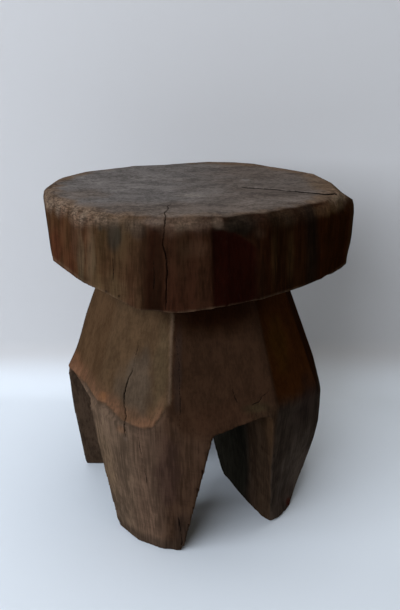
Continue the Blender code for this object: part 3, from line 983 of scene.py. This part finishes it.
        # The seat goes darker towards the back, in patches
        shade = ramp(-0.45, 0.55, field(co, (14.0, 30.0, 14.0), 71.0) + 3.6 * surface.rel[:, 1])
        seat = blend(seat, colours.seat_dark, 0.55 * shade)
        drift = 0.03 * field(co, (22.0, 30.0, 22.0), 77.0)
        grey = 1.0 - ramp(-0.040, 0.080, surface.rel[:, 0] + drift)
        grey *= ramp(-0.145, -0.085, surface.rel[:, 1] + drift)
        seat = blend(seat, colours.seat_grey_and_sheen, 0.85 * grey)
        for *place, colour, strength in SEAT_PATCHES:
            seat = blend(seat, colour, strength * top_patch(surface, *place))
        border = ramp(0.155, 0.178, surface.radius + 0.012 * field(co, (60.0, 60.0, 60.0), 73.0))
        seat = blend(seat, SEAT_BORDER_COLOUR, 0.90 * border)
        # Lay the seat's colours, with their painted sheen, on the top
        tone = blend(tone, seat, top)
        # Painted shade on the faces of the cap that look down
        under = ramp(-0.55, -0.85, surface.normal[:, 2])
        tone = blend(tone, colours.under, under)
        distance, angle = arrises.distances(co)
        near = (1.0 - ramp(0.0006, 0.0030, distance)) * ramp(26.0, 40.0, np.degrees(angle))
        tone = blend(tone, colours.arris_wear_and_highlight, 0.35 * near * fray)
        blotch = 0.16 * field(co, (30.0, 30.0, 24.0), 81.0) + 0.14 * field(co, (95.0, 95.0, 60.0), 83.0)
        tone *= (1.0 + blotch)[:, None]
        surface.tone(tone)
        around = ramp(0.162, 0.178, surface.radius) * (1.0 - ramp(0.010, 0.024, below_top + ragged))
        crust = around * (0.30 + 0.55 * left) * (1.0 - self.scooped)
        surface.masks(end_grain=top, crack=self.crack, smooth=self.scooped, crust=crust)


class STOOL_OT_base(bpy.types.Operator):
    """Hew and wear the base and its tenon"""

    bl_idname = "stool.base"
    bl_label = "Base"

    LEAST_ARRIS = math.radians(12.0)
    # Depth of the hollow in the left of the flare, and how far the left legs swell under it
    HOLLOW = 0.0026
    LEG_SWELL = 0.0008
    # How far the feet and the right toe spread on the floor
    FOOT_SPREAD = 0.0009
    TOE_SPREAD = 0.0026
    # How far the wood fills the crown of the right arch
    CROWN_FILL = 0.0042

    def execute(self, context):
        sizes = context.scene.stool_sizes
        colours = context.scene.stool_colours
        solid = merged_copy("base")
        body = self.part_of(solid, below=True)
        tree = BVHTree.FromBMesh(body)
        arrises = Arrises(body, self.LEAST_ARRIS)
        cracks = Cracks(tree, BASE_CRACKS)
        piece = fine_mesh(body, "hewn_base", sizes.base_grid)
        soften(piece, 1, 0.5)
        soften(piece, 4, 0.5, below=0.009)
        soften(piece, 6, 0.5, below=0.034, about=AXIS + Vector(RIGHT_TOE), reach=0.026)
        refine_cracks(piece, cracks)
        surface = Surface(piece)
        hidden = (surface.height > NECK_HEIGHT - 0.0015) & (surface.radius < 0.100)
        self.sculpt(surface, sizes, cracks, hidden)
        snap_hidden(surface, tree, hidden)
        surface.store()
        self.paint(surface, colours, arrises)
        material = hewn_wood("weathered base wood")
        finish_piece(piece, material, "base")
        finish_piece(self.tenon(solid), material, "base")
        body.free()
        solid.free()
        return {'FINISHED'}

    @staticmethod
    def part_of(solid, below):
        """The base below the neck or its tenon above it, closed at the cut."""
        bm = solid.copy()
        cut = bmesh.ops.bisect_plane(
            bm,
            geom=bm.verts[:] + bm.edges[:] + bm.faces[:],
            dist=1e-5,
            plane_co=(0.0, 0.0, NECK_HEIGHT),
            plane_no=(0.0, 0.0, 1.0),
            clear_outer=below,
            clear_inner=not below,
        )
        edges = [edge for edge in only(bmesh.types.BMEdge, cut["geom_cut"]) if edge.is_boundary]
        bmesh.ops.holes_fill(bm, edges=edges, sides=0)
        bmesh.ops.recalc_face_normals(bm, faces=bm.faces[:])
        return bm

    def tenon(self, solid):
        """The round tenon with its two kerfs, as the solid has it."""
        bm = self.part_of(solid, below=False)
        mesh = bpy.data.meshes.new("base_tenon")
        bm.to_mesh(mesh)
        bm.free()
        piece = bpy.data.objects.new("base_tenon", mesh)
        bpy.context.scene.collection.objects.link(piece)
        surface = Surface(piece)
        count = len(surface.co)
        surface.tone(np.tile(np.array(FLARE_ZONES[0][2]), (count, 1)))
        none = np.zeros(count)
        surface.masks(end_grain=none, crack=none, smooth=none, crust=none)
        return piece

    def sculpt(self, surface, sizes, cracks, hidden):
        """Move the points of the base for adze marks, raised grain, worn edges and checks."""
        azimuth = surface.azimuth
        foot = surface.height < 0.0008
        line = np.interp(azimuth, *LEG_LINE)
        self.drop = line - surface.height
        legs = ramp(-0.010, 0.020, self.drop)
        rough = field(surface.co, (16.0, 16.0, 9.0), 2.0)
        ripple = field(surface.co, (55.0, 55.0, 24.0), 17.0)
        grain = field(surface.co, (150.0, 150.0, 9.0), 4.0)
        move = sizes.hewing * (0.35 + 0.25 * legs) * rough + 0.10 * sizes.hewing * ripple
        move += sizes.grain * (0.3 + 0.7 * legs) * grain
        front_left = between(-96.0, -82.0, -11.0, -8.0, azimuth)
        step = between(-0.0005, 0.0025, 0.015, 0.080, self.drop)
        outside = ramp(0.2, 0.6, surface.outward)
        move -= sizes.leg_step * front_left * step * outside
        hollow = between(-118.0, -95.0, -62.0, -48.0, azimuth)
        hollow *= between(0.194, 0.230, 0.234, 0.285, surface.height)
        move -= self.HOLLOW * hollow
        left = 1.0 - ramp(-16.0, -10.0, azimuth)
        move += self.LEG_SWELL * ramp(0.010, 0.050, self.drop) * left * outside
        self.crack, depth = cracks.cut(surface.co)
        move -= depth
        move[hidden] = 0.0
        move[foot] = 0.0
        surface.push(move)
        low = 1.0 - ramp(0.0, 0.030, surface.height)
        toe = np.hypot(surface.rel[:, 0] - RIGHT_TOE[0], surface.rel[:, 1] - RIGHT_TOE[1])
        spread = low * (self.FOOT_SPREAD * outside + self.TOE_SPREAD * (1.0 - ramp(0.020, 0.050, toe)))
        outer = between(50.0, 60.0, 98.0, 122.0, azimuth) * outside
        spread += outer * np.interp(surface.height, *OUTER_LEG)
        surface.co[:, :2] += spread[:, None] * surface.away
        apart = surface.rel[:, :2] - self.inner_corner(surface.height)
        reach = 1.0 - ramp(0.0, 0.060, np.hypot(apart[:, 0], apart[:, 1]))
        heights, shift_x, shift_y = INNER_SHIFT
        surface.co[:, 0] += reach * np.interp(surface.height, heights, shift_x)
        surface.co[:, 1] += reach * np.interp(surface.height, heights, shift_y)
        place, along, swell = TOE_EDGE
        apart = surface.rel[:, :2] - np.array(place)
        out = np.array((along[1], -along[0]))
        beside = apart @ out
        swell = swell * (1.0 - ramp(0.004, 0.024, -beside))
        swell *= 1.0 - ramp(0.010, 0.050, surface.height)
        length = apart @ np.array(along)
        swell *= between(-0.060, -0.012, 0.034, 0.052, length)
        swell *= 1.0 - ramp(0.008, 0.014, beside)
        surface.co[:, :2] += swell[:, None] * out
        crown = between(0.167, 0.184, 0.200, 0.215, surface.height)
        crown *= between(2.0, 6.0, 12.0, 20.0, azimuth) * ramp(0.120, 0.150, surface.radius)
        surface.co[:, 0] += self.CROWN_FILL * crown
        surface.co[foot, 2] = 0.0

    @staticmethod
    def inner_corner(height):
        """Place of the right leg's inner corner at each height, from the axis."""
        ends = np.array(INNER_CORNER)
        share = height[:, None] / INNER_TOP
        return ends[0] * (1.0 - share) + ends[1] * share

    def paint(self, surface, colours, arrises):
        """Paint the tone of the base and its masks."""
        co = surface.co
        azimuth = surface.azimuth
        wobble = 0.8 * field(co, (45.0, 45.0, 12.0), 52.0)
        flare = zoned(azimuth + 0.3 * wobble, FLARE_ZONES)
        legs = zoned(azimuth + 1.6 * wobble, LEG_ZONES)
        crisp = 0.0015 + 0.0125 * ramp(-11.0, -6.0, azimuth)
        ragged = 0.002 * field(co, (90.0, 90.0, 60.0), 54.0)
        tone = blend(flare, legs, ramp(-1.0, 1.0, (self.drop + ragged) / crisp))
        tone = patched(surface, tone, BASE_PATCHES)
        # Painted shadow of the cap on the base under the neck
        tone = blend(tone, NECK_SHADOW_COLOUR, 0.88 * side_patch(surface, *NECK_SHADE, soft=0.60, warp=0.12))
        left = between(-100.0, -84.0, -12.0, -8.5, azimuth)
        spread = 0.004 * field(co, (60.0, 60.0, 60.0), 56.0)
        band = (1.0 - ramp(0.002, 0.026, spread - self.drop)) * (1.0 - ramp(-0.0010, 0.0015, self.drop))
        fray = 0.5 + 0.5 * ramp(-0.4, 0.4, field(co, (80.0, 80.0, 60.0), 58.0))
        tone = blend(tone, colours.rust, 0.70 * band * left * fray)
        # Painted shadow in a strip under the flare's lower edge on the left
        shade = between(-0.0005, 0.0015, 0.002, 0.007, self.drop)
        tone = blend(tone, colours.under, 0.45 * shade * left)
        # Painted shade on the faces that look in under the stool, darkest deep between the legs
        inner = (1.0 - ramp(0.10, 0.42, surface.outward)) * (1.0 - ramp(0.195, 0.215, surface.height))
        deep = 1.0 - ramp(0.098, 0.120, surface.radius + 0.006 * field(co, (40.0, 40.0, 14.0), 59.0))
        tone = blend(tone, LEG_INSIDE_SHADE, 0.50 * inner * (1.0 - deep))
        tone = blend(tone, colours.hollow, inner * (0.04 + 0.96 * deep))
        distance, angle = arrises.distances(co)
        # A lighter line on the base's front arris, where the light falls: painted highlight over rubbed
        # wood
        lit = between(-12.0, -10.0, -8.0, -6.5, azimuth)
        lit *= between(0.222, 0.232, 0.318, 0.330, surface.height)
        rubbed_and_lit = lit * (1.0 - ramp(0.0008, 0.0030, distance))
        tone = blend(tone, colours.arris_wear_and_highlight, 0.75 * rubbed_and_lit)
        blotch = 0.14 * field(co, (28.0, 28.0, 18.0), 82.0) + 0.12 * field(co, (90.0, 90.0, 50.0), 84.0)
        tone *= (1.0 + blotch)[:, None]
        surface.tone(tone)
        feet = ramp(-0.8, -0.95, surface.normal[:, 2])
        smooth = 1.0 - ramp(-0.010, 0.010, self.drop)
        surface.masks(end_grain=feet, crack=self.crack, smooth=smooth, crust=np.zeros(len(co)))


class STOOL_OT_wedges(bpy.types.Operator):
    """Give the two wedges their split wood"""

    bl_idname = "stool.wedges"
    bl_label = "Wedges"

    DARKER = 0.6
    ROUGHNESS = 0.7

    def execute(self, context):
        colour = tuple(context.scene.stool_colours.wedge)
        material, tree, shader, coords = new_material("split wedge wood")
        side = placed_group(tree, "Side grain", coords)
        dark = tuple(self.DARKER * part for part in colour)
        tree.links.new(mix_node(tree, side.outputs["Pattern"], dark, colour), shader.inputs["Base Color"])
        shader.inputs["Roughness"].default_value = self.ROUGHNESS
        for name in ("tenon_wedge_front", "tenon_wedge_rear"):
            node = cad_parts[name]
            node.data.materials.clear()
            node.data.materials.append(material)
        return {'FINISHED'}


class STOOL_OT_stage(bpy.types.Operator):
    """Set the floor, the light and the camera"""

    bl_idname = "stool.stage"
    bl_label = "Stage"

    HALF_WIDTH = 3.0
    FRONT = -3.0
    BACK = 3.0
    TOP = 3.0
    DROP = 0.001
    # Share of the bend's radius over which the floor's colour turns into the backdrop's
    TURN = 0.75
    BEND_STEPS = 24
    AIM = Vector((0.0, 0.0, 0.22))
    AMBIENT_COLOUR = (1.10, 1.0, 0.88, 1.0)

    def execute(self, context):
        stage = context.scene.stool_stage
        self.backdrop(context, stage)
        self.lights(context, stage)
        self.camera(context, stage)
        context.scene.view_settings.view_transform = 'Standard'
        return {'FINISHED'}

    def backdrop(self, context, stage):
        """A sheet for floor and wall with a bend between, that casts no shadow and is clear from behind."""
        bm = bmesh.new()
        start = stage.wall - stage.bend
        verts = [bm.verts.new((side * self.HALF_WIDTH, self.FRONT, 0.0)) for side in (-1.0, 1.0)]
        edge = bm.edges.new(verts)
        grown = bmesh.ops.extrude_edge_only(bm, edges=[edge])["geom"]
        front = only(bmesh.types.BMVert, grown)
        bmesh.ops.translate(bm, verts=front, vec=(0.0, start - self.FRONT, 0.0))
        edge = [item for item in bm.edges if all(abs(vert.co.y - start) < 1e-5 for vert in item.verts)][0]
        turned = bmesh.ops.spin(
            bm,
            geom=[edge],
            cent=(0.0, start, stage.bend),
            axis=(1.0, 0.0, 0.0),
            angle=math.radians(90.0),
            steps=self.BEND_STEPS,
        )["geom_last"]
        grown = bmesh.ops.extrude_edge_only(bm, edges=only(bmesh.types.BMEdge, turned))["geom"]
        upper = only(bmesh.types.BMVert, grown)
        bmesh.ops.translate(bm, verts=upper, vec=(0.0, 0.0, self.TOP - stage.bend))
        bmesh.ops.recalc_face_normals(bm, faces=bm.faces[:])
        floor = min(bm.faces, key=lambda face: face.calc_center_median().y)
        if floor.normal.z < 0.0:
            bmesh.ops.reverse_faces(bm, faces=bm.faces[:])
        # The floor goes on behind the wall, a little lower than the bend
        corners = ((-1.0, start), (1.0, start), (1.0, self.BACK), (-1.0, self.BACK))
        bm.faces.new([bm.verts.new((side * self.HALF_WIDTH, y, -self.DROP)) for side, y in corners])
        mesh = bpy.data.meshes.new("backdrop")
        bm.to_mesh(mesh)
        bm.free()
        mesh.shade_smooth()
        sheet = bpy.data.objects.new("backdrop", mesh)
        context.scene.collection.objects.link(sheet)
        sheet.visible_shadow = False
        material, tree, shader, coords = new_material("pale backdrop")
        place = tree.nodes.new('ShaderNodeSeparateXYZ')
        tree.links.new(coords, place.inputs[0])
        risen = ramp_node(tree, place.outputs["Z"], 0.0, self.TURN * stage.bend)
        colour = mix_node(tree, risen, tuple(stage.floor), tuple(stage.backdrop))
        tree.links.new(colour, shader.inputs["Base Color"])
        shader.inputs["Roughness"].default_value = 0.85
        shader.inputs["Specular IOR Level"].default_value = 0.1
        # The sheet is clear from behind, so that it hides the stool from no side
        facing = tree.nodes.new('ShaderNodeNewGeometry')
        clear = tree.nodes.new('ShaderNodeBsdfTransparent')
        either = tree.nodes.new('ShaderNodeMixShader')
        tree.links.new(facing.outputs["Backfacing"], either.inputs[0])
        tree.links.new(shader.outputs[0], either.inputs[1])
        tree.links.new(clear.outputs[0], either.inputs[2])
        tree.links.new(either.outputs[0], tree.nodes["Material Output"].inputs["Surface"])
        mesh.materials.append(material)

    def lights(self, context, stage):
        """A window-like light at the left, a soft one overhead and a low even light from all sides."""
        # Name, power, width and height, colour, place
        lamps = (
            ("key", stage.key_power, (4.6, 2.64), (0.930, 1.005, 1.130), (-2.65, -2.48, 1.92)),
            ("top", stage.top_power, (1.2, 1.2), (0.99, 1.00, 1.02), (0.10, -0.10, 2.60)),
        )
        for name, power, size, colour, place in lamps:
            data = bpy.data.lights.new(name, 'AREA')
            data.shape = 'RECTANGLE'
            data.size = size[0]
            data.size_y = size[1]
            data.energy = power
            data.color = colour
            lamp = bpy.data.objects.new(name, data)
            context.scene.collection.objects.link(lamp)
            lamp.location = place
            lamp.rotation_euler = (self.AIM - lamp.location).to_track_quat('-Z', 'Y').to_euler()
        world = bpy.data.worlds.new("studio")
        world.use_nodes = True
        background = world.node_tree.nodes["Background"]
        background.inputs["Color"].default_value = self.AMBIENT_COLOUR
        background.inputs["Strength"].default_value = stage.ambient
        context.scene.world = world

    def camera(self, context, stage):
        """The camera at the photograph's viewing angle."""
        data = bpy.data.cameras.new("camera")
        data.lens = stage.lens
        camera = bpy.data.objects.new("camera", data)
        context.scene.collection.objects.link(camera)
        camera.location = AXIS + Vector(stage.eye)
        camera.rotation_euler = (math.pi / 2 - stage.pitch, 0.0, 0.0)
        context.scene.camera = camera


class STOOL_PT_panel(bpy.types.Panel):
    """Lists the steps that build the stool"""

    bl_label = "Hewn stool"
    bl_idname = "STOOL_PT_panel"
    bl_space_type = 'VIEW_3D'
    bl_region_type = 'UI'
    bl_category = "Stool"

    def draw(self, context):
        column = self.layout.column()
        for step in STEPS:
            column.operator(step)


CLASSES = (
    StoolSizes,
    StoolColours,
    StageSettings,
    STOOL_OT_seat_cap,
    STOOL_OT_base,
    STOOL_OT_wedges,
    STOOL_OT_stage,
    STOOL_PT_panel,
)
STEPS = ("stool.seat_cap", "stool.base", "stool.wedges", "stool.stage")


def register():
    """Register the classes and hang their settings on the scene."""
    for item in CLASSES:
        bpy.utils.register_class(item)
    bpy.types.Scene.stool_sizes = bpy.props.PointerProperty(type=StoolSizes)
    bpy.types.Scene.stool_colours = bpy.props.PointerProperty(type=StoolColours)
    bpy.types.Scene.stool_stage = bpy.props.PointerProperty(type=StageSettings)


def unregister():
    """Take the settings and the classes off again."""
    del bpy.types.Scene.stool_stage
    del bpy.types.Scene.stool_colours
    del bpy.types.Scene.stool_sizes
    for item in reversed(CLASSES):
        bpy.utils.unregister_class(item)


def main():
    """Build every piece in order."""
    register()
    bpy.ops.stool.seat_cap()
    bpy.ops.stool.base()
    bpy.ops.stool.wedges()
    bpy.ops.stool.stage()


if __name__ == "__main__":
    main()
